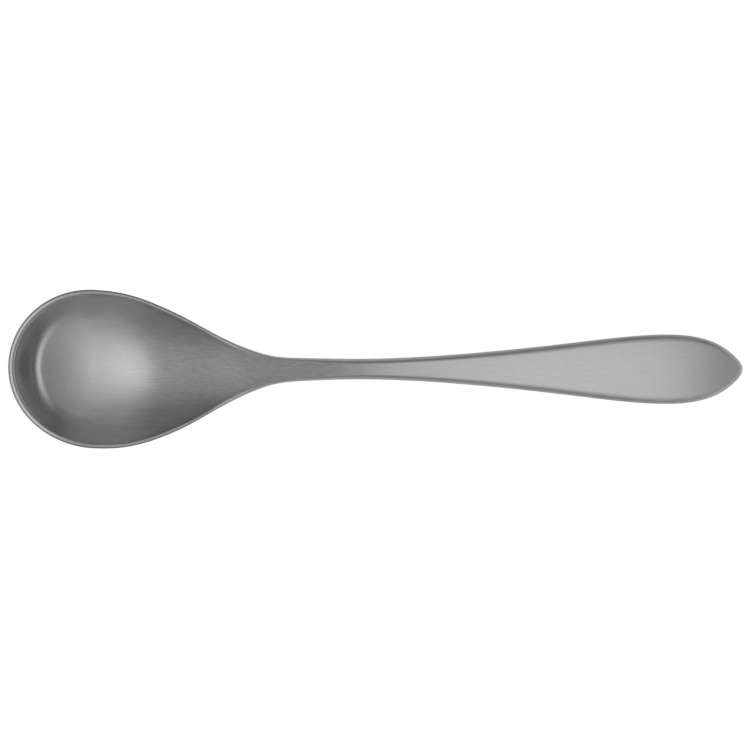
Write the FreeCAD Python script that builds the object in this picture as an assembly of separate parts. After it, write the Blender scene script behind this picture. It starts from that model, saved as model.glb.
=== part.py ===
import FreeCAD, Part
import math
import os

# A demitasse spoon in one piece of stainless steel, lying on its belly and on the tip of its handle.
# X runs along the spoon from the bowl to the handle's tip, Y is across it and Z is up. The origin is
# under the middle of the spoon's box, on the table. All sizes are in millimetres. A station is a
# distance behind the front of the bowl's rim.

Vector = FreeCAD.Vector

# Plan sizes, seen from above
length = 112.0
bowl_half_width = 12.08
bowl_reach = 13.0  # from the front of the rim back to the widest place of the bowl
neck_half_width = 1.58
neck_place = 54.0  # station of the narrowest place of the handle
leaf_half_width = 5.30
leaf_place = 11.5  # the widest place of the handle, before its tip

# The outline between those places. The shoulder gives distances behind the widest place of the bowl,
# and the share of the way from the neck's half width to the bowl's. The leaf gives the share of the way
# from the neck to the widest place of the handle, and the same share of its growth in width. The nose
# gives distances before the handle's tip, and shares of the leaf's half width.
shoulder = [(4.5, 0.968), (10.0, 0.812), (15.0, 0.589), (20.0, 0.327), (24.0, 0.156), (27.5, 0.055),
            (32.0, 0.017)]
leaf = [(0.30, 0.172), (0.69, 0.664), (0.90, 0.949)]
nose = [(7.0, 0.925), (3.5, 0.694), (1.1, 0.355)]

# The bowl is set a little askew on the handle: sideways offsets of the middle line, by station
skew_line = [(0.0, 0.29), (13.0, 0.0), (29.0, -0.50), (42.0, -0.13), (54.0, 0.0), (74.0, 0.0)]

# Heights of the middle of the edge above the table, by station and by distance before the tip
front_heights = [(0.0, 9.5), (13.0, 7.4), (26.0, 5.61), (36.0, 3.84), (46.0, 5.12), (54.0, 6.24),
                 (64.0, 6.77)]
back_heights = [(26.0, 6.1), (10.0, 3.67), (0.0, 0.85)]

# Bowl
bowl_depth = 4.62  # of the curve that the front of the bowl follows down from the rim
floor_thickness = 1.05
inner_fullness = 1.97  # power of the section: 2 is a parabola, more is a flatter floor
outer_fullness = 2.0
rear_gain = 1.0  # growth of the depth factor towards the neck, where the bowl gets narrow
gain_start = 6.5  # station from which it grows, and the run over which it does
gain_run = 27.0
front_wall = 1.15  # extra drop of the steep wall inside the front of the rim
wall_foot = 0.64  # share of the way out from the middle of the bowl to the rim at which the wall ends
wall_fade = 20.0  # the wall gets lower along the sides and is gone at this station
bowl_end = 30.0  # behind this station the bowl runs out into the neck
bowl_runout = 16.0
rim_even_to = 25.0  # up to this station the rim keeps its section

# Edge: its thickness at the outline, and the width over which it is rounded off
rim_thickness = 0.8
neck_thickness = 2.7
leaf_thickness = 1.85
tip_thickness = 1.5
rim_round_front = 1.15
rim_round_side = 0.85
throat_round = 0.3  # where the rim runs into the neck, up to the throat's end
throat_end = 40.0
neck_round = 1.4
leaf_round = 2.1
tip_round = 0.6
neck_run = 8.0  # before the neck's place the handle already has its full thickness
leaf_run = 20.0  # from the place of the leaf's thickness to the tip
tip_run = 10.0  # from the place where the round of the edge gets smaller to the tip

# Flat land on top of the rim, from the outline to the line where the hollow drops
land_front = 0.6
land_side = 0.42
land_rear = 0.06  # behind this run the rim has a plain rounded crest instead
land_even_to = 24.0
land_fade = 10.0
land_softness = 0.7  # share of the land over which it rolls into the hollow

# Cross crown of the handle
top_crown_radius = 30.0
under_crown_radius = 70.0

# The skin is carried by ribs, which run in from the outline square to it and fan out at both ends
front_ribs = 12
body_ribs = 52
tip_ribs = 8
tip_reach = 6.0  # length of the last stretch, where the ribs fan round the tip
hollow_steps = 16
under_steps = 7
over_steps = 15
over_crowding = 1.5  # draws the steps together where the edge rolls into the hollow
front_samples = 16
side_samples = 160
height_samples = 400

same_place = 1e-6
sewing_gap = 0.002


def graph(pairs):
    """A smooth curve through pairs of place and value, as a spline over the place."""
    curve = Part.BSplineCurve()
    curve.interpolate(Points=[Vector(place, value, 0) for place, value in pairs],
                      Parameters=[place for place, value in pairs])
    return curve


def value_at(curve, place):
    """The value of a graph at a place."""
    return curve.value(place).y


def slope_at(curve, place):
    """The steepness of a graph at a place."""
    return curve.getD1(place)[1].y


def soft_step(place, start, run):
    """Goes from 1 to 0 over a run, level at both ends."""
    share = min(max((place - start) / run, 0.0), 1.0)
    return 1.0 - share * share * (3.0 - 2.0 * share)


def blend(first, second, share):
    """Goes from the first value to the second as the share goes from 0 to 1."""
    return first + (second - first) * share


def side_outline():
    """The outline behind the widest place of the bowl: one spline to the handle's tip."""
    bowl_rise = bowl_half_width - neck_half_width
    leaf_rise = leaf_half_width - neck_half_width
    leaf_way = length - leaf_place - neck_place
    points = [(bowl_reach, bowl_half_width)]
    points += [(bowl_reach + back, neck_half_width + share * bowl_rise) for back, share in shoulder]
    points += [(neck_place, neck_half_width)]
    points += [(neck_place + way * leaf_way, neck_half_width + share * leaf_rise) for way, share in leaf]
    points += [(length - leaf_place, leaf_half_width)]
    points += [(length - before, share * leaf_half_width) for before, share in nose]
    points += [(length, 0.0)]
    curve = Part.BSplineCurve()
    curve.interpolate(Points=[Vector(x, y, 0) for x, y in points],
                      InitialTangent=Vector(1, 0, 0), FinalTangent=Vector(0, -1, 0), Scale=False)
    return curve


def squared_width():
    """The half width squared over the station: smooth even where the outline closes at its ends."""
    pairs = []
    for k in range(front_samples):
        x = bowl_reach * k / front_samples
        before = 1.0 - x / bowl_reach
        pairs.append((x, bowl_half_width ** 2 * (1.0 - before ** 2)))
    side = side_outline()
    first, last = side.FirstParameter, side.LastParameter
    for k in range(side_samples + 1):
        spot = side.value(first + (last - first) * k / side_samples)
        pairs.append((spot.x, spot.y ** 2))
    return graph(pairs)


width_graph = squared_width()
skew_graph = graph(skew_line + [(length, 0.0)])
height_graph = graph(front_heights + [(length - before, value) for before, value in back_heights])
handle_thickness_graph = graph([(0.0, neck_thickness), (neck_place - neck_run, neck_thickness),
                                (neck_place, neck_thickness), (length - leaf_run, leaf_thickness),
                                (length, tip_thickness)])


def front_share(x):
    """1 at the front of the rim and 0 from the widest place of the bowl on."""
    return soft_step(x, 0.0, bowl_reach)


def bowl_share(x):
    """1 in the bowl and 0 from the place where it has run out into the neck."""
    return soft_step(x, bowl_end, bowl_runout)


def rim_share(x):
    """1 along the rim and 0 from the place where the edge has the handle's section."""
    return soft_step(x, rim_even_to, neck_place - neck_run - rim_even_to)


def edge_thickness(x):
    """Thickness at the outline: even round the rim, thick at the neck and thinner again to the tip."""
    return blend(value_at(handle_thickness_graph, x), rim_thickness, rim_share(x))


def edge_round(x):
    """Width of the edge's round: broad along the handle, narrow round the bowl and at the tip."""
    rim = blend(rim_round_side, rim_round_front, front_share(x))
    handle = blend(leaf_round, neck_round, soft_step(x, neck_place, length - leaf_run - neck_place))
    handle = blend(handle, throat_round, soft_step(x, throat_end, neck_place - throat_end))
    handle = blend(tip_round, handle, soft_step(x, length - tip_run, tip_run))
    return blend(handle, rim, rim_share(x))


def land_width(x):
    """Width of the land round the bowl, widest at the front and closing up towards the neck."""
    width = blend(land_side, land_front, front_share(x))
    return blend(land_rear, width, soft_step(x, land_even_to, land_fade))


def inner_squared_width(x):
    """The same as the squared width, for the line where the hollow drops, one land inside."""
    outer = value_at(width_graph, x)
    return outer - 2.0 * land_width(x) * math.sqrt(max(outer, 0.0) + (slope_at(width_graph, x) / 2.0) ** 2)


def bowl_gain(x):
    """Factor on the bowl's depth, which puts its deepest place behind its widest one: 1 at the front."""
    return 1.0 + rear_gain * (1.0 - soft_step(x, gain_start, gain_run))


def wall_drop(x, level):
    """Extra drop of the front wall, from the line round the hollow in to the foot of the wall.

    The level is F squared, where F is 1 on that line and 0 in the middle of the bowl.
    """
    height = front_wall * soft_step(x, 0.0, wall_fade)
    return height * soft_step(math.sqrt(level), wall_foot, 1.0 - wall_foot)


def hollow(x, y):
    """Depth of the bowl's hollow under the rim: 1 - F^n, where F is 1 on the line round the hollow.

    The step from the flat land to that curve is a short parabola, the roll of the rim.
    """
    inner_half_width = bowl_half_width - land_side
    outer = value_at(width_graph, x)
    inner = inner_squared_width(x)
    level = max(1.0 + (y * y - inner) / inner_half_width ** 2, 0.0)
    edge_level = max(1.0 + (outer - inner) / inner_half_width ** 2, 0.0)
    drop = 1.0 - level ** (inner_fullness / 2.0)
    softness = land_softness * (edge_level ** (inner_fullness / 2.0) - 1.0)
    if drop <= -softness:
        share = 0.0
    elif drop >= softness:
        share = drop
    else:
        share = (drop + softness) ** 2 / (4.0 * softness)
    return bowl_depth * bowl_gain(x) * share * bowl_share(x) + wall_drop(x, level)


def belly(x, y):
    """Depth of the bowl's outside under the edge, by the same rule with the outline itself."""
    belly_depth = bowl_depth + floor_thickness - rim_thickness
    level = max(1.0 + (y * y - value_at(width_graph, x)) / bowl_half_width ** 2, 0.0)
    wide = belly_depth * bowl_gain(x) * (1.0 - level ** (outer_fullness / 2.0)) * bowl_share(x)
    return wide + wall_drop(x, level)


def crown(x, y, radius):
    """Cross crown of the handle, a shallow arc between the two edges."""
    return (1.0 - bowl_share(x)) * (value_at(width_graph, x) - y * y) / (2.0 * radius)


def skin_point(x, y, turn):
    """A point of the skin over a plan place: turn is 0 at the outline, 90 on top and -90 below."""
    lift = math.sin(math.radians(turn)) * edge_thickness(x) / 2.0
    if turn > 0:
        form = crown(x, y, top_crown_radius) - hollow(x, y)
    elif turn < 0:
        form = -crown(x, y, under_crown_radius) - belly(x, y)
    else:
        form = 0.0
    return Vector(x, y, value_at(height_graph, x) + lift + form)


def rib(x, turn):
    """Plan place on the rib that starts at the outline's station x and runs in square to it."""
    outer = max(value_at(width_graph, x), 0.0)
    along = -slope_at(width_graph, x) / 2.0
    across = math.sqrt(outer)
    reach = math.hypot(along, across)
    inset = edge_round(x) * (1.0 - math.cos(math.radians(turn)))
    return x - inset * along / reach, across - inset * across / reach


def front_stations():
    """Stations of the ribs round the front of the bowl, at even angles of its ellipse."""
    angles = [math.pi / 2 * k / front_ribs for k in range(front_ribs + 1)]
    return [bowl_reach * (1.0 - math.cos(angle)) for angle in angles]


def body_stations():
    """Stations of the ribs along the rest of the bowl and the handle, at even distances."""
    run = length - tip_reach - bowl_reach
    return [bowl_reach + run * k / body_ribs for k in range(body_ribs + 1)]


def tip_stations():
    """Stations of the ribs round the tip, closer and closer towards it."""
    return [length - tip_reach * (1.0 - k / tip_ribs) ** 2 for k in range(tip_ribs + 1)]


def spline_through(points, places):
    """The cubic spline through points, which it passes at the given places of its parameter."""
    curve = Part.BSplineCurve()
    curve.interpolate(Points=points, Parameters=places)
    return curve


def face_through(rows, column_places):
    """A face through a grid of points: a spline along each row, then one through the rows' poles.

    Where the rows of a fan start in one centre, their poles meet there and stay one point.
    """
    row_places = list(range(len(rows)))
    row_curves = [spline_through(row, column_places) for row in rows]
    across = row_curves[0]
    along = spline_through([row[-1] for row in rows], row_places)
    poles = []
    for column in zip(*[curve.getPoles() for curve in row_curves]):
        if max(pole.distanceToPoint(column[0]) for pole in column) < same_place:
            poles.append([column[0]] * along.NbPoles)
        else:
            poles.append(spline_through(list(column), row_places).getPoles())
    surface = Part.BSplineSurface()
    surface.buildFromPolesMultsKnots(poles, across.getMultiplicities(), along.getMultiplicities(),
                                     across.getKnots(), along.getKnots(), False, False,
                                     across.Degree, along.Degree)
    return surface.toShape()


def placed(spot, side, lowest):
    """Moves a point to its side of the middle line and into the spoon's own frame."""
    return Vector(spot.x - length / 2.0, side * spot.y + value_at(skew_graph, spot.x), spot.z - lowest)


def edge_face(stations, side, lowest):
    """The rounded edge along a stretch of the outline, from the underside round to the top."""
    turns = [-90.0 + 90.0 * k / under_steps for k in range(under_steps)]
    turns += [90.0 * (1.0 - (1.0 - k / over_steps) ** over_crowding) for k in range(over_steps + 1)]
    rows = []
    for x in stations:
        spots = [rib(x, turn) for turn in turns]
        rows.append([placed(skin_point(*spot, turn), side, lowest) for spot, turn in zip(spots, turns)])
    return face_through(rows, turns)


def broad_face(stations, centre, turn, side, lowest):
    """The top or the underside inside the rounded edge, from the middle out. A fan has a centre."""
    shares = [k / hollow_steps for k in range(hollow_steps + 1)]
    rows = []
    for x in stations:
        inner_x, inner_y = rib(x, turn)
        start = inner_x if centre is None else centre
        spots = [(start + share * (inner_x - start), share * inner_y) for share in shares]
        rows.append([placed(skin_point(*spot, turn), side, lowest) for spot in spots])
    return face_through(rows, shares)


def spoon():
    """Sews the skin: both sides of the edge, the top and the underside, each in three stretches."""
    middle_line = [length * k / height_samples for k in range(1, height_samples)]
    lowest = min(skin_point(x, 0.0, -90.0).z for x in middle_line)
    bowl_centre = rib(bowl_reach, 90.0)[0]
    tip_centre = rib(length - tip_reach, 90.0)[0]
    stretches = [(front_stations(), bowl_centre), (body_stations(), None), (tip_stations(), tip_centre)]
    faces = []
    for side in (1, -1):
        for stations, centre in stretches:
            faces.append(edge_face(stations, side, lowest))
            faces.append(broad_face(stations, centre, 90.0, side, lowest))
            faces.append(broad_face(stations, centre, -90.0, side, lowest))
    skin = Part.makeCompound(faces)
    skin.sewShape(sewing_gap)
    solid = Part.Solid(skin.Shells[0] if skin.Shells else skin)
    if solid.Volume < 0:
        solid.reverse()
    return solid


os.makedirs("parts", exist_ok=True)
body = spoon()
box = body.BoundBox
print("valid", body.isValid(), "faces", len(body.Faces), "volume", round(body.Volume, 1), "mm3")
print("box", [round(value, 3) for value in (box.XMin, box.YMin, box.ZMin, box.XMax, box.YMax, box.ZMax)])
body.exportStep("parts/spoon.step")
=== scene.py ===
# %% [markdown]
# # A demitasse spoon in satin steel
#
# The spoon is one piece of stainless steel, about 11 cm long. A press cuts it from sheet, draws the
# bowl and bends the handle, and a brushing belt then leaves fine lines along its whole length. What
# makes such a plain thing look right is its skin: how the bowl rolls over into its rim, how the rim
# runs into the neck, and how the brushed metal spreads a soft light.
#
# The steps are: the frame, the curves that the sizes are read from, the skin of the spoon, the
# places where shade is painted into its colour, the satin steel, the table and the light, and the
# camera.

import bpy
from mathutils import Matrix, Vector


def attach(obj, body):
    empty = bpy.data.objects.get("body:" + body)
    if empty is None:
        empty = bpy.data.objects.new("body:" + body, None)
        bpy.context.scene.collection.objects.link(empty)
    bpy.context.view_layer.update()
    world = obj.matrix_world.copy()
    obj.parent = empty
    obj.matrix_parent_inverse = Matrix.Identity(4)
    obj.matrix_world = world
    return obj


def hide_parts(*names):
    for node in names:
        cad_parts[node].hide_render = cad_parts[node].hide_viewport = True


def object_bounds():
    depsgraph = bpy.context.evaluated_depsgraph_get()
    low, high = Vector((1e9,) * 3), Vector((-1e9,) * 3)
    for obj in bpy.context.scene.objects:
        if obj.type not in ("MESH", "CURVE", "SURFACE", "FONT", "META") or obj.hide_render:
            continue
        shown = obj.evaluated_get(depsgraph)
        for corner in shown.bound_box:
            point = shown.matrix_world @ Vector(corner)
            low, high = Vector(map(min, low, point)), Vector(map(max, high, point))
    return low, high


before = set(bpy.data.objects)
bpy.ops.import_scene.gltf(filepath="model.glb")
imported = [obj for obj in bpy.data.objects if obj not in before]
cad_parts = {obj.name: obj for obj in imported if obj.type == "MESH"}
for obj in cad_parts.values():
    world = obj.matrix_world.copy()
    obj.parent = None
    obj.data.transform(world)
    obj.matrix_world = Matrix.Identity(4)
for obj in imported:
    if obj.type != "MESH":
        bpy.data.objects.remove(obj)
cad_low, cad_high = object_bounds()
print("box of the solid, mm:", [round(1000 * (b - a), 2) for a, b in zip(cad_low, cad_high)])

# %% Tools
import math

import bmesh
import bpy
import numpy as np

mm = 0.001  # the frame is in metres

# %% [markdown]
# ## Curves that the sizes are read from
#
# A spoon is drawn from a few stations along its length: how wide it is there, how high its edge
# lies and how thick it is. Between the stations each size has to change smoothly, because brushed
# metal shows every kink as a break in its highlight. Polynomials through all the stations would
# wave, and straight stretches would show corners, so each size is a cubic spline: pieces of cubics
# that agree in value, steepness and curvature where they meet.

# %% A spline as a function


def spline(places, values, first_slope=None, last_slope=None):
    """A cubic spline through values at places, as a function that gives value and slope anywhere.

    The slopes at the places are found first, from one equation for each place: the curvature is
    the same on both sides of it. An end without a given slope carries on its neighbour's cubic.
    """
    places, values = np.asarray(places, float), np.asarray(values, float)
    run = np.diff(places)
    rise = np.diff(values) / run
    count = len(places)
    system, target = np.zeros((count, count)), np.zeros(count)
    inner = np.arange(1, count - 1)
    system[inner, inner - 1] = run[1:]
    system[inner, inner] = 2 * (run[1:] + run[:-1])
    system[inner, inner + 1] = run[:-1]
    target[inner] = 3 * (run[1:] * rise[:-1] + run[:-1] * rise[1:])
    if first_slope is None:
        system[0, :3] = run[1] ** 2, run[1] ** 2 - run[0] ** 2, -run[0] ** 2
        target[0] = 2 * (run[1] ** 2 * rise[0] - run[0] ** 2 * rise[1])
    else:
        system[0, 0], target[0] = 1, first_slope
    if last_slope is None:
        system[-1, -3:] = run[-1] ** 2, run[-1] ** 2 - run[-2] ** 2, -run[-2] ** 2
        target[-1] = 2 * (run[-1] ** 2 * rise[-2] - run[-2] ** 2 * rise[-1])
    else:
        system[-1, -1], target[-1] = 1, last_slope
    slopes = np.linalg.solve(system, target)

    def read(place):
        piece = np.clip(np.searchsorted(places, place, side="right") - 1, 0, count - 2)
        span, share = run[piece], (place - places[piece]) / run[piece]
        bend = slopes[piece] + slopes[piece + 1] - 2 * rise[piece]
        lean = rise[piece] - slopes[piece] - bend
        value = values[piece] + span * share * (slopes[piece] + share * (lean + share * bend))
        return value, slopes[piece] + share * (2 * lean + 3 * share * bend)

    return read


# %% [markdown]
# ## The outline
#
# Seen from above, the bowl is an egg: its front is half an ellipse, and behind its widest place the
# sides sweep in to the neck like a flask. The handle then widens to a leaf and closes in a short
# point. The front could be one more spline, but an ellipse is exact and takes two sizes.
#
# Half an ellipse and the leaf's point both stand square to the middle line at their ends, where a
# half width over the station would be infinitely steep. The square of the half width isn't: for an
# ellipse it is a plain parabola. So the outline is kept as the square, and the root is taken at the
# end.

# %% Plan sizes
length = 112.0 * mm
bowl_half_width = 12.08 * mm
bowl_reach = 13.0 * mm
neck_half_width = 1.58 * mm
neck_place = 54.0 * mm
leaf_half_width = 5.30 * mm
leaf_place = 11.5 * mm

shoulder_back = np.array([4.5, 10.0, 15.0, 20.0, 24.0, 27.5, 32.0]) * mm
shoulder_share = np.array([0.968, 0.812, 0.589, 0.327, 0.156, 0.055, 0.017])
leaf_way = np.array([0.30, 0.69, 0.90])
leaf_share = np.array([0.172, 0.664, 0.949])
nose_before = np.array([7.0, 3.5, 1.1]) * mm
nose_share = np.array([0.925, 0.694, 0.355])

front_samples = 16
side_samples = 160


def side_outline():
    """Stations and half widths behind the bowl's widest place, as splines along the outline.

    Both coordinates are splines over the distance along the outline, which starts level at the
    bowl's side and ends square across the handle's tip.
    """
    bowl_rise, leaf_rise = bowl_half_width - neck_half_width, leaf_half_width - neck_half_width
    neck_to_leaf = length - leaf_place - neck_place
    stations = np.concatenate([
        [bowl_reach], bowl_reach + shoulder_back, [neck_place],
        neck_place + leaf_way * neck_to_leaf, [length - leaf_place],
        length - nose_before, [length]])
    widths = np.concatenate([
        [bowl_half_width], neck_half_width + shoulder_share * bowl_rise, [neck_half_width],
        neck_half_width + leaf_share * leaf_rise, [leaf_half_width],
        nose_share * leaf_half_width, [0.0]])
    along = np.concatenate([[0.0], np.cumsum(np.hypot(np.diff(stations), np.diff(widths)))])
    steps = np.linspace(0.0, along[-1], side_samples + 1)
    return spline(along, stations, 1.0, 0.0)(steps)[0], spline(along, widths, 0.0, -1.0)(steps)[0]


def squared_width():
    """The half width squared over the station: the front's ellipse, then the side outline."""
    front = bowl_reach * np.arange(front_samples) / front_samples
    ellipse = bowl_half_width ** 2 * (1.0 - (1.0 - front / bowl_reach) ** 2)
    stations, widths = side_outline()
    return spline(np.concatenate([front, stations]), np.concatenate([ellipse, widths ** 2]))


width_squared = squared_width()
widths_at = np.array([bowl_reach, neck_place, length - leaf_place])
print("widths at bowl, neck and leaf, mm:", (2000 * np.sqrt(width_squared(widths_at)[0])).round(2))

# %% [markdown]
# ## Heights and thickness
#
# The spoon lies on its belly and on the tip of the handle, and the neck arches up between them. The
# rim is thin and even. Behind the bowl the metal gathers into a neck more than three times as
# thick, which then thins out towards the tip. Real spoons are drawn with two or three such curves,
# and a slow ease from one thickness to the other is what lets the rim melt into the handle.
#
# The edge is rounded over a width of its own: widest on the leaf that the fingers hold, narrow on
# the rim, and almost crisp at the throat, where the rim's roll dies out against the neck.

# %% Heights and thickness
front_stations = np.array([0.0, 13.0, 26.0, 36.0, 46.0, 54.0, 64.0]) * mm
front_heights = np.array([9.5, 7.4, 5.61, 3.84, 5.12, 6.24, 6.77]) * mm
back_before = np.array([26.0, 10.0, 0.0]) * mm
back_heights = np.array([6.1, 3.67, 0.85]) * mm
height_of_edge = spline(
    np.concatenate([front_stations, length - back_before]),
    np.concatenate([front_heights, back_heights]))

middle_stations = np.array([0.0, 13.0, 29.0, 42.0, 54.0, 74.0]) * mm
middle_offsets = np.array([0.29, 0.0, -0.50, -0.13, 0.0, 0.0, 0.0]) * mm
middle_line = spline(np.append(middle_stations, length), middle_offsets)

rim_thickness = 0.8 * mm
neck_thickness = 2.7 * mm
leaf_thickness = 1.85 * mm
tip_thickness = 1.5 * mm
neck_run = 8.0 * mm
leaf_run = 20.0 * mm
tip_run = 10.0 * mm
rim_even_to = 25.0 * mm
rim_round_front = 1.15 * mm
rim_round_side = 0.85 * mm
throat_round = 0.3 * mm
throat_end = 40.0 * mm
neck_round = 0.9 * mm
leaf_round = 1.2 * mm
tip_round = 0.6 * mm

handle_thickness = spline(
    [0.0, neck_place - neck_run, neck_place, length - leaf_run, length],
    [neck_thickness, neck_thickness, neck_thickness, leaf_thickness, tip_thickness])


def soft_step(place, start, run):
    """Goes from 1 to 0 over a run, level at both ends: 1 - s * s * (3 - 2 * s)."""
    share = np.clip((place - start) / run, 0.0, 1.0)
    return 1.0 - share * share * (3.0 - 2.0 * share)


def blend(first, second, share):
    """Goes from the first value to the second as the share goes from 0 to 1."""
    return first + (second - first) * share


def rim_share(x):
    """1 along the rim and 0 from the place where the edge has the handle's section."""
    return soft_step(x, rim_even_to, neck_place - neck_run - rim_even_to)


def edge_thickness(x):
    """Thickness at the outline: the handle's, with the rim's in its place round the bowl."""
    return blend(handle_thickness(x)[0], rim_thickness, rim_share(x))


def edge_round(x):
    """Width over which the edge is rounded off, in from the outline."""
    rim = blend(rim_round_side, rim_round_front, soft_step(x, 0.0, bowl_reach))
    neck = soft_step(x, neck_place, length - leaf_run - neck_place)
    handle = blend(leaf_round, neck_round, neck)
    handle = blend(handle, throat_round, soft_step(x, throat_end, neck_place - throat_end))
    handle = blend(tip_round, handle, soft_step(x, length - tip_run, tip_run))
    return blend(handle, rim, rim_share(x))


thickness_at = np.array([0.0, neck_place, length])
print("thickness at rim, neck and tip, mm:", (1000 * edge_thickness(thickness_at)).round(2))

# %% [markdown]
# ## The bowl
#
# The hollow starts one narrow land inside the outline, rolls over softly and drops to a nearly flat
# floor. Its depth follows 1 - F^n, where F is 0 in the middle and 1 on the line round the hollow: a
# power of 2 gives a parabola and a higher one a flatter floor with steeper walls. F comes from the
# squared width, so that the hollow has the egg shape of the outline without a curve of its own. The
# outside of the bowl follows the same rule from the outline itself. Where the bowl ends, both fade
# out into the neck.
#
# A bowl drawn by that rule alone would be deepest right under its widest place. A real one carries
# its weight nearer to the hand, so the depth gains behind the front. And a press draws the front up
# steeply, which adds a wall that drops quickly from the rim and stops at a foot: the light gathers
# in that foot as a thin crescent. The flat land beside the outline is widest at the front, where a
# lip touches it, and closes before the throat.

# %% Hollow, belly and crown
bowl_depth = 4.62 * mm
rear_gain = 1.0
gain_start = 6.5 * mm
gain_run = 27.0 * mm
floor_thickness = 1.05 * mm
inner_fullness = 1.97
outer_fullness = 2.0
bowl_end = 30.0 * mm
bowl_runout = 16.0 * mm
land_front = 0.60 * mm
land_side = 0.42 * mm
land_rear = 0.06 * mm
land_even_to = 24.0 * mm
land_fade = 10.0 * mm
land_softness = 0.7
front_wall = 1.15 * mm
wall_foot = 0.64
wall_fade = 20.0 * mm
top_crown_radius = 30.0 * mm
under_crown_radius = 70.0 * mm


def bowl_share(x):
    """1 in the bowl and 0 from the place where it has run out into the neck."""
    return soft_step(x, bowl_end, bowl_runout)


def bowl_gain(x):
    """Factor on the depth, 1 at the front and more behind, where the deepest place comes to lie."""
    return 1.0 + rear_gain * (1.0 - soft_step(x, gain_start, gain_run))


def wall_drop(x, level):
    """Extra drop of the steep front wall, from the line round the hollow in to the wall's foot.

    The level is F squared, and F is 1 at that line. The wall fades out along the sides.
    """
    wall = front_wall * soft_step(np.sqrt(level), wall_foot, 1.0 - wall_foot)
    return wall * soft_step(x, 0.0, wall_fade)


def hollow_level(x, y):
    """F squared of the hollow, at a place and at the outline beside it.

    It is 1 + (y squared - inner) / (inner half width squared), where inner is the squared width
    less the land, and the land is laid off square to the outline.
    """
    inner_half_width = bowl_half_width - land_side
    outer, slope = width_squared(x)
    land = blend(land_side, land_front, soft_step(x, 0.0, bowl_reach))
    land = blend(land_rear, land, soft_step(x, land_even_to, land_fade))
    inner = outer - 2.0 * land * np.sqrt(np.maximum(outer, 0.0) + (slope / 2.0) ** 2)
    level = np.maximum(1.0 + (y * y - inner) / inner_half_width ** 2, 0.0)
    return level, np.maximum(1.0 + (outer - inner) / inner_half_width ** 2, 0.0)


def hollow(x, y):
    """Depth under the rim: bowl depth times 1 - F^n, with a short parabola where it starts."""
    level, edge_level = hollow_level(x, y)
    drop = 1.0 - level ** (inner_fullness / 2.0)
    softness = land_softness * (edge_level ** (inner_fullness / 2.0) - 1.0)
    roll = (drop + softness) ** 2 / (4.0 * softness)
    share = np.where(drop <= -softness, 0.0, np.where(drop >= softness, drop, roll))
    return bowl_depth * bowl_gain(x) * share * bowl_share(x) + wall_drop(x, level)


def belly(x, y):
    """Depth of the bowl's outside under the edge, by the same rule with the outline itself."""
    depth = bowl_depth + floor_thickness - rim_thickness
    level = np.maximum(1.0 + (y * y - width_squared(x)[0]) / bowl_half_width ** 2, 0.0)
    wide = depth * bowl_gain(x) * (1.0 - level ** (outer_fullness / 2.0)) * bowl_share(x)
    return wide + wall_drop(x, level)


def crown(x, y, radius):
    """Cross crown of the handle: (half width squared - y squared) over twice the radius."""
    return (1.0 - bowl_share(x)) * (width_squared(x)[0] - y * y) / (2.0 * radius)


def skin_height(x, y, turn):
    """Height of the skin over a plan place: turn is 0 at the outline, 90 on top and -90 below."""
    lift = np.sin(np.radians(turn)) * edge_thickness(x) / 2.0
    top = crown(x, y, top_crown_radius) - hollow(x, y)
    under = -crown(x, y, under_crown_radius) - belly(x, y)
    return height_of_edge(x)[0] + lift + np.where(turn > 0, top, np.where(turn < 0, under, 0.0))


# %% [markdown]
# ## The skin
#
# The spoon's skin is one closed sheet, and a sheet needs two parameters. A plain grid over length
# and width would cut across the rounded ends in steps. Here one parameter runs round the outline
# and the other runs square to it, as a seamstress would gather a cover: from the middle of the
# underside out to the edge, round the edge, and in to the middle of the top. Round the front of the
# bowl and the tip of the handle these ribs fan out from one centre, and between them they end on
# the middle line, where the two sides meet. The points that meet there are merged, so the skin has
# no seam.

# %% Ribs round the outline
front_ribs = 56
body_ribs = 200
tip_ribs = 36
tip_reach = 6.0 * mm
under_steps = 26
round_steps = 16
roll_steps = 26
hollow_steps = 50
roll_crowding = 1.5  # powers that crowd the steps where the edge rolls over into the top
hollow_crowding = 1.2


def stations_round():
    """Stations of the ribs from front to tip, crowded at both ends, where the outline turns."""
    front = 1.0 - np.cos(np.linspace(0.0, math.pi / 2, front_ribs, endpoint=False))
    body = np.linspace(bowl_reach, length - tip_reach, body_ribs, endpoint=False)
    tip = length - tip_reach * (1.0 - np.linspace(0.0, 1.0, tip_ribs + 1)) ** 2
    return np.concatenate([bowl_reach * front, body, tip])


def rib(x, turn):
    """Plan place on the rib that starts at station x and runs in square to the outline.

    The outline's normal has the shares -(slope of the squared width) / 2 and the half width, and
    the rib moves in along it by the edge's round times 1 - cos(turn).
    """
    outer, slope = width_squared(x)
    along, across = -slope / 2.0, np.sqrt(np.maximum(outer, 0.0))
    reach = np.hypot(along, across)
    inset = edge_round(x) * (1.0 - np.cos(np.radians(turn)))
    return x - inset * along / reach, across - inset * across / reach


def rib_places():
    """The steps along a rib, from the middle below round the edge to the middle on top.

    For each step they give the share of the way from the middle out to the edge, and the turn
    round the edge.
    """
    under = np.linspace(0.0, 1.0, under_steps, endpoint=False)
    lower = np.linspace(-90.0, 0.0, round_steps, endpoint=False)
    upper = 90.0 * (1.0 - (1.0 - np.linspace(0.0, 1.0, roll_steps + 1)) ** roll_crowding)
    top = 1.0 - np.linspace(0.0, 1.0, hollow_steps + 1)[1:] ** hollow_crowding
    shares = np.concatenate([under, np.ones(len(lower) + len(upper)), top])
    turns = np.concatenate([np.full(len(under), -90.0), lower, upper, np.full(len(top), 90.0)])
    return shares, turns


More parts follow.
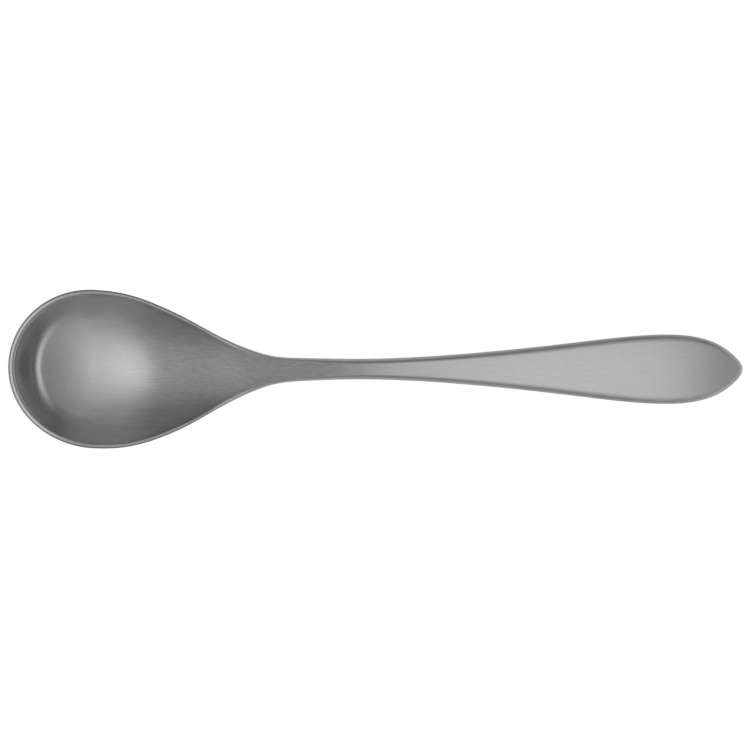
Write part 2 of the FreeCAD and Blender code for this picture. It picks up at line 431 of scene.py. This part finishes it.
def half_skin():
    """Points of one side of the spoon: a row for each rib, a column for each step along it."""
    x = stations_round()[:, None]
    shares, turns = rib_places()
    rim_x, rim_y = rib(x, turns[None, :])
    bowl_centre = rib(np.array([bowl_reach]), 90.0)[0]
    tip_centre = rib(np.array([length - tip_reach]), 90.0)[0]
    start = np.where(x > length - tip_reach, tip_centre, rim_x)
    start = np.where(x < bowl_reach, bowl_centre, start)
    plan_x = start + shares * (rim_x - start)
    plan_y = shares * rim_y
    return np.stack([plan_x, plan_y, skin_height(plan_x, plan_y, turns[None, :])], axis=-1)


half = half_skin()
print("points on one side:", half.shape[0], "ribs of", half.shape[1])

# %% [markdown]
# ## Painted shade on the wall and the rim
#
# The steep wall under the rim at the bowl's front and the rolled rim along the sides are darkened
# in their colour, so both are darker than the floor. This is painted shade, which stands in for
# the darker reflections there. A material could look for such places by their height, but the
# rim's height changes all round the bowl. F already tells how far a place lies on the way from the
# middle of the bowl to its rim. So a value from 0 to 1 is worked out from it for each point and
# kept in the mesh, where the material reads it.

# %% Painted shade of the wall and the rim
rim_begin = 0.93  # F where the rim's part begins, and the step in F until it is full
rim_blend = 0.12
wall_begin = 0.66
wall_blend = 0.16
front_to = 3.5 * mm  # station up to which the front counts fully, and the length it fades over
front_fade = 9.0 * mm
# The side walls get a little of the painted shade, and the side rims nearly all of it.
side_wall_shade = 0.15
side_rim_shade = 0.9


def painted_shade(x, y, turn):
    """Painted shade, 1 on the steep front wall and nearly 1 on the bowl's side rims, else 0.

    The wall's part rises where F nears the rim and falls again where the wall rolls over into it.
    The side walls get a little of it, and the floor, the handle and the underside none.
    """
    share = np.sqrt(hollow_level(x, y)[0])
    rim = 1.0 - soft_step(share, rim_begin, rim_blend)
    wall = (1.0 - soft_step(share, wall_begin, wall_blend)) * (1.0 - rim)
    front = soft_step(x, front_to, front_fade)
    wall = wall * blend(side_wall_shade, 1.0, front)
    rim = rim * blend(side_rim_shade, 0.0, front)
    return np.where(turn > 0, (wall + rim) * bowl_share(x), 0.0)


half_shade = painted_shade(half[..., 0], half[..., 1], rib_places()[1])
print("share of the points that are more than half dull:", (half_shade > 0.5).mean().round(3))

# %% Both sides, as one closed mesh
# The mesh value that carries the painted shade.
shade_value_name = "painted_shade"
merge_distance = 0.0005 * mm


def both_sides(one_side, mirror):
    """One round trip: out along one side and back along the other."""
    return np.concatenate([one_side, one_side[-2:0:-1] * mirror])


def whole_skin(one_side):
    """Both sides of the spoon, set on the middle line and down on the table."""
    skin = both_sides(one_side, np.array([1.0, -1.0, 1.0]))
    skin[..., 1] += middle_line(skin[..., 0])[0]
    skin[..., 0] -= length / 2
    skin[..., 2] += cad_low.z - skin[..., 2].min()
    return skin


def grid_faces(rows, columns):
    """Four corners for each cell of a grid whose last row closes on its first."""
    row, column = np.meshgrid(np.arange(rows), np.arange(columns - 1), indexing="ij")
    after = (row + 1) % rows
    corners = [row * columns + column, after * columns + column,
               after * columns + column + 1, row * columns + column + 1]
    return np.stack(corners, axis=-1).reshape(-1, 4)


def piece_from_grid(name, points, value_name, values):
    """Makes a mesh from a closed grid, merges the points that meet and turns its faces outwards.

    The values, one at each point, are kept under their name for the material to read.
    """
    mesh = bpy.data.meshes.new(name)
    mesh.from_pydata(points.reshape(-1, 3), [], grid_faces(*points.shape[:2]))
    mesh.attributes.new(value_name, "FLOAT", "POINT").data.foreach_set("value", values.ravel())
    draft = bmesh.new()
    draft.from_mesh(mesh)
    bmesh.ops.remove_doubles(draft, verts=draft.verts, dist=merge_distance)
    bmesh.ops.recalc_face_normals(draft, faces=draft.faces)
    open_edges = sum(not edge.is_manifold for edge in draft.edges)
    draft.to_mesh(mesh)
    draft.free()
    mesh.polygons.foreach_set("use_smooth", np.ones(len(mesh.polygons), bool))
    piece = bpy.data.objects.new(name, mesh)
    bpy.context.scene.collection.objects.link(piece)
    print(name, "faces:", len(mesh.polygons), "open edges:", open_edges)
    return piece


# The painted shade of both sides, kept in the mesh.
shade_values = both_sides(half_shade, 1.0)
spoon = piece_from_grid("satin_spoon", whole_skin(half), shade_value_name, shade_values)
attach(spoon, "root")
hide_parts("spoon")

# %% [markdown]
# ## Satin steel
#
# Belt-brushed steel is a mirror covered with fine scratches, all along the spoon. Across the
# scratches the light spreads widely and along them hardly at all, so a highlight becomes a band
# that lies across the handle. Drawing each scratch in a picture would need a huge one and would
# show its pixels close up. Here the spread itself comes from the shader's anisotropy, and the lines
# that the eye can still see are noise, stretched until it is hair-thin and some millimetres long.
#
# The metal isn't the same everywhere. The bowl's tone is lighter than the handle's, a painted
# highlight over the bowl, and stronger marks stay behind its middle, where the belt leaves it. The
# wall that no belt reaches keeps its smooth pressed skin at the very front, and painted shade kept
# in the mesh darkens that wall and the rim along the sides. Two broad stretches along the spoon,
# one soft change near the front and that shade value steer all this.
#
# The noise reads object coordinates, in metres, so the lines run on over the edge and into the bowl
# without a seam.

# %% Tone, lines and relief
anisotropy = 0.85
brush_turn = 0.25  # a quarter turn lays the spread across the lines
handle_tone = 0.56
# The bowl's lighter tone is a painted highlight.
bowl_tone = 0.62
# Where the painted shade is full, this share of the tone is left.
shaded_tone = 0.50  # share of the tone that is left where the steel is dull
brushed_roughness = 0.35
wall_roughness = 0.22
relief_strength = 0.25
scratch_depth = 0.004 * mm

# For each noise: the length and the width of a grain, and how much finer detail it has.
hair_grain = (5.0 * mm, 0.14 * mm, 3.0)
stroke_grain = (9.0 * mm, 0.40 * mm, 2.0)
cloud_grain = (2.5 * mm, 1.2 * mm, 1.0)
mark_grain = (3.0 * mm, 0.26 * mm, 2.0)
noise_low, noise_high = 0.3, 0.7  # nearly all of a noise lies between these

# How far a noise takes the tone or the roughness up and down, as a share of it.
hair_swing = 0.05
stroke_swing = 0.015
cloud_swing = 0.02
mark_swing = 0.10
rough_stroke_swing = 0.04
rough_cloud_swing = 0.05

# Stations from the bowl's front: where a stretch begins, is full, is full to and ends.
marked_stretch = np.array([14.0, 28.0, 48.0, 60.0]) * mm
# Stretch where the bowl's tone is lighter: painted highlight.
bowl_highlight_stretch = np.array([10.0, 20.0, 34.0, 42.0]) * mm
pressed_to, brushed_from = 3.0 * mm, 9.0 * mm


def stretched_noise(tree, coordinates, grain):
    """Noise whose grains lie along the spoon: its coordinates divided by a grain's sizes."""
    line_length, line_width, detail = grain
    mapping = tree.nodes.new("ShaderNodeMapping")
    mapping.inputs["Scale"].default_value = (1 / line_length, 1 / line_width, 1 / line_width)
    noise = tree.nodes.new("ShaderNodeTexNoise")
    noise.inputs["Scale"].default_value = 1.0
    noise.inputs["Detail"].default_value = detail
    tree.links.new(coordinates, mapping.inputs["Vector"])
    tree.links.new(mapping.outputs["Vector"], noise.inputs["Vector"])
    return noise.outputs["Fac"]


def eased(tree, value, from_low, from_high, to_low, to_high, easing="SMOOTHSTEP"):
    """Goes from one value to another while the input goes from low to high, softly by default."""
    node = tree.nodes.new("ShaderNodeMapRange")
    node.interpolation_type = easing
    node.inputs["From Min"].default_value = from_low
    node.inputs["From Max"].default_value = from_high
    node.inputs["To Min"].default_value = to_low
    node.inputs["To Max"].default_value = to_high
    tree.links.new(value, node.inputs["Value"])
    return node.outputs["Result"]


def varied(tree, noise, swing, middle=1.0):
    """Spreads a noise evenly round a middle value, by the swing to either side."""
    return eased(tree, noise, noise_low, noise_high, middle - swing, middle + swing, "LINEAR")


def joined(tree, operation, first, second):
    """One math node that joins two values."""
    node = tree.nodes.new("ShaderNodeMath")
    node.operation = operation
    for socket, value in zip(node.inputs, (first, second)):
        if isinstance(value, float):
            socket.default_value = value
        else:
            tree.links.new(value, socket)
    return node.outputs["Value"]


def product(tree, value, *others):
    """All the values multiplied, one after the other."""
    for other in others:
        value = joined(tree, "MULTIPLY", value, other)
    return value


def stretch(tree, x, stations):
    """1 along a stretch of the spoon and 0 outside it. X is 0 at the middle of the spoon."""
    begin, full_from, full_to, end = stations - length / 2
    rise = eased(tree, x, begin, full_from, 0.0, 1.0)
    fall = eased(tree, x, full_to, end, 1.0, 0.0)
    return product(tree, rise, fall)


print("length and width of the finest lines, mm:", [round(size / mm, 2) for size in hair_grain[:2]])

# %% The steel


def tone_of_steel(tree, x, hair, stroke, cloud, mark):
    """The lines' swings round 1, times the tone of the place, as a grey colour."""
    marks = product(tree, stretch(tree, x, marked_stretch), varied(tree, mark, mark_swing, 0.0))
    # Painted highlight: a lighter tone over the bowl.
    painted_highlight = stretch(tree, x, bowl_highlight_stretch)
    # The mesh value darkens the tone: painted shade on the front wall and the side rims.
    shaded = tree.nodes.new("ShaderNodeAttribute")
    shaded.attribute_name = shade_value_name
    base = product(tree, eased(tree, painted_highlight, 0.0, 1.0, handle_tone, bowl_tone),
                   eased(tree, shaded.outputs["Fac"], 0.0, 1.0, 1.0, shaded_tone))
    tone = product(tree, varied(tree, hair, hair_swing), varied(tree, stroke, stroke_swing),
                   joined(tree, "ADD", marks, 1.0), varied(tree, cloud, cloud_swing), base)
    colour = tree.nodes.new("ShaderNodeCombineColor")
    for channel in ("Red", "Green", "Blue"):
        tree.links.new(tone, colour.inputs[channel])
    return colour.outputs["Color"]


def roughness_of_steel(tree, x, stroke, cloud):
    """The swings of two noises round 1, times the roughness, which grows behind the front wall."""
    places = (pressed_to - length / 2, brushed_from - length / 2)
    return product(tree, varied(tree, stroke, rough_stroke_swing),
                   varied(tree, cloud, rough_cloud_swing),
                   eased(tree, x, *places, wall_roughness, brushed_roughness))


def satin_steel():
    """Metal with a wide highlight across the brush lines, and noise in tone, gloss and relief."""
    material = bpy.data.materials.new("satin_steel")
    material.use_nodes = True
    tree = material.node_tree
    steel = tree.nodes["Principled BSDF"]
    steel.inputs["Metallic"].default_value = 1.0
    steel.inputs["Anisotropic"].default_value = anisotropy
    steel.inputs["Anisotropic Rotation"].default_value = brush_turn
    along = tree.nodes.new("ShaderNodeCombineXYZ")
    along.inputs["X"].default_value = 1.0
    tree.links.new(along.outputs["Vector"], steel.inputs["Tangent"])

    place = tree.nodes.new("ShaderNodeTexCoord").outputs["Object"]
    apart = tree.nodes.new("ShaderNodeSeparateXYZ")
    tree.links.new(place, apart.inputs["Vector"])
    x = apart.outputs["X"]
    hair, stroke, cloud, mark = (
        stretched_noise(tree, place, grain)
        for grain in (hair_grain, stroke_grain, cloud_grain, mark_grain))
    colour = tone_of_steel(tree, x, hair, stroke, cloud, mark)
    tree.links.new(colour, steel.inputs["Base Color"])
    tree.links.new(roughness_of_steel(tree, x, stroke, cloud), steel.inputs["Roughness"])

    relief = tree.nodes.new("ShaderNodeBump")
    relief.inputs["Strength"].default_value = relief_strength
    relief.inputs["Distance"].default_value = scratch_depth
    tree.links.new(hair, relief.inputs["Height"])
    tree.links.new(relief.outputs["Normal"], steel.inputs["Normal"])
    return material


spoon.data.materials.append(satin_steel())
print("nodes of the steel:", len(spoon.data.materials[0].node_tree.nodes))

# %% [markdown]
# ## Table
#
# The spoon lies on a plain white table. A white floor under a lamp could be made white by more
# light, but then the metal would burn out. So the table is white to the eye of the camera by a
# share of glow of its own, and the rest of its light comes from the room, which leaves it the
# spoon's soft shadow. To the mirrored rays in the metal the table glows less, or the spoon's edges
# would be drawn as bright lines.

# %% Table
table_size = 6.0
table_gap = 0.002 * mm
table_white = 0.8
table_glow = 0.73
mirror_glow = 0.28


def ray_share(tree, camera, mirrored):
    """A value that a camera ray sees at one size, and a mirrored or transmitted ray at another."""
    rays = tree.nodes.new("ShaderNodeLightPath")
    seen = product(tree, rays.outputs["Is Camera Ray"], camera)
    others = joined(tree, "MAXIMUM",
                    rays.outputs["Is Glossy Ray"], rays.outputs["Is Transmission Ray"])
    return joined(tree, "MAXIMUM", seen, product(tree, others, mirrored))


def table_top():
    """A large plane just under the spoon, with a matt white material that also glows a little."""
    half_size, level = table_size / 2, cad_low.z - table_gap
    mesh = bpy.data.meshes.new("table")
    corners = [(-half_size, -half_size, level), (half_size, -half_size, level),
               (half_size, half_size, level), (-half_size, half_size, level)]
    mesh.from_pydata(corners, [], [(0, 1, 2, 3)])
    top = bpy.data.objects.new("table", mesh)
    bpy.context.scene.collection.objects.link(top)
    material = bpy.data.materials.new("table_white")
    material.use_nodes = True
    tree = material.node_tree
    matt = tree.nodes["Principled BSDF"]
    matt.inputs["Base Color"].default_value = (table_white, table_white, table_white, 1)
    matt.inputs["Roughness"].default_value = 1.0
    matt.inputs["Specular IOR Level"].default_value = 0.0
    matt.inputs["Emission Color"].default_value = (1, 1, 1, 1)
    tree.links.new(ray_share(tree, table_glow, mirror_glow), matt.inputs["Emission Strength"])
    mesh.materials.append(material)
    print("table under the spoon by, mm:", round((cad_low.z - level) / mm, 4))
    return top


table_top()

# %% [markdown]
# ## Light
#
# Each part of the spoon is as bright as what it mirrors, so the light is described by what stands
# in each direction round it. A large soft light overhead, a little towards the handle, makes the
# bright floor of the bowl and the bright leaf. It fades out slowly to both sides, as a sheet of
# diffusing cloth does that is lit from behind, and ends sooner towards the bowl, which is why the
# neck is darker. A lower light beyond the handle gives the crescent at the foot of the bowl's front
# wall, and a weak one beside it lifts the wall on the +Y side. A breath of light stands beyond the
# bowl. The rest of the room is grey, darker at the sides, and black towards the horizon, which the
# front wall mirrors.
#
# Lamps with hard edges would draw their outline in the metal, so the lights are painted on the
# world: each is a band of angles with soft ends, along the spoon and across it.

# %% Surroundings
room_grey = 0.36
grey_heights = (0.2, 0.5)  # rise of a direction where the room is black, and where fully grey
grey_middle = -9.0  # degrees to the side at which the grey is fullest
grey_sides = (30.0, 78.0)  # degrees from there at which it starts to fade, and has faded
grey_left = 0.25  # share of the grey that is left at the sides

# Strength, then angles from straight up: along the spoon (towards the handle is positive) where
# the light begins, is full, is full to and ends; and across it (towards +Y is positive) its middle,
# and how far from there it is full and ends.
overhead = (0.68, (-20.0, 3.0, 18.0, 52.0), (-4.0, 12.0, 66.0))
beyond_handle = (0.85, (63.0, 73.0, 77.0, 90.0), (-8.0, 30.0, 64.0))
beyond_bowl = (0.10, (-70.0, -42.0, -34.0, -14.0), (-7.0, 24.0, 80.0))
low_side = (0.22, (40.0, 62.0, 78.0, 90.0), (-52.0, 10.0, 34.0))
soft_lights = (overhead, beyond_handle, beyond_bowl, low_side)


def apart_from(tree, angle, middle):
    """How far an angle lies from a middle one in degrees, either way."""
    return joined(tree, "ABSOLUTE", joined(tree, "ADD", angle, -math.radians(middle)), 0.0)


def eased_angle(tree, angle, begin, end, to_low, to_high):
    """The soft change of a value over an angle, between two angles in degrees."""
    return eased(tree, angle, math.radians(begin), math.radians(end), to_low, to_high)


def soft_light(tree, along, sideways, light):
    """Strength of one light in a direction: its three eased edges multiplied."""
    strength, (begin, full_from, full_to, end), (middle, side_full, side_end) = light
    across = apart_from(tree, sideways, middle)
    return product(tree, eased_angle(tree, along, begin, full_from, 0.0, strength),
                   eased_angle(tree, along, full_to, end, 1.0, 0.0),
                   eased_angle(tree, across, side_full, side_end, 1.0, 0.0))


def surroundings():
    """A grey room with four soft lights, and white to the camera where it looks past the table.

    A direction's angle along the spoon is the arc tangent of x over z, and its angle across the
    spoon is the arc sine of y.
    """
    world = bpy.data.worlds.new("room")
    world.use_nodes = True
    tree = world.node_tree
    room = tree.nodes["Background"]
    room.inputs["Color"].default_value = (1, 1, 1, 1)
    direction = tree.nodes.new("ShaderNodeSeparateXYZ")
    towards = tree.nodes.new("ShaderNodeTexCoord").outputs["Generated"]
    tree.links.new(towards, direction.inputs["Vector"])
    x, y, z = (direction.outputs[axis] for axis in "XYZ")
    along = joined(tree, "ARCTAN2", x, z)
    sideways = joined(tree, "ARCSINE", y, 0.0)
    across = apart_from(tree, sideways, grey_middle)
    strength = product(tree, eased(tree, z, *grey_heights, 0.0, room_grey),
                       eased_angle(tree, across, *grey_sides, 1.0, grey_left))
    for light in soft_lights:
        strength = joined(tree, "ADD", strength, soft_light(tree, along, sideways, light))
    strength = joined(tree, "MAXIMUM", ray_share(tree, 1.0, 0.0), strength)
    tree.links.new(strength, room.inputs["Strength"])
    bpy.context.scene.world = world


surroundings()
print("soft lights:", len(soft_lights), "strongest:", max(light[0] for light in soft_lights))

# %% [markdown]
# ## Camera
#
# The picture is taken straight down from far away with a long lens, so the outline is nearly that
# of the plan, and the top of the image is the +Y side.

# %% Camera
picture_width = 114.57 * mm
picture_middle = (-0.14 * mm, -0.9 * mm)
camera_height = 3.0
view_reach = 10.0
sensor = 36.0


def camera_above():
    """A camera straight over the middle of the picture, with the lens that frames its width."""
    camera = bpy.data.cameras.new("above")
    camera.sensor_width = sensor
    camera.lens = sensor * camera_height / picture_width
    camera.clip_end = view_reach
    eye = bpy.data.objects.new("above", camera)
    eye.location = (*picture_middle, camera_height)
    bpy.context.scene.collection.objects.link(eye)
    bpy.context.scene.camera = eye
    print("lens, mm:", round(camera.lens, 1))


camera_above()
bpy.context.scene.view_settings.view_transform = "Standard"
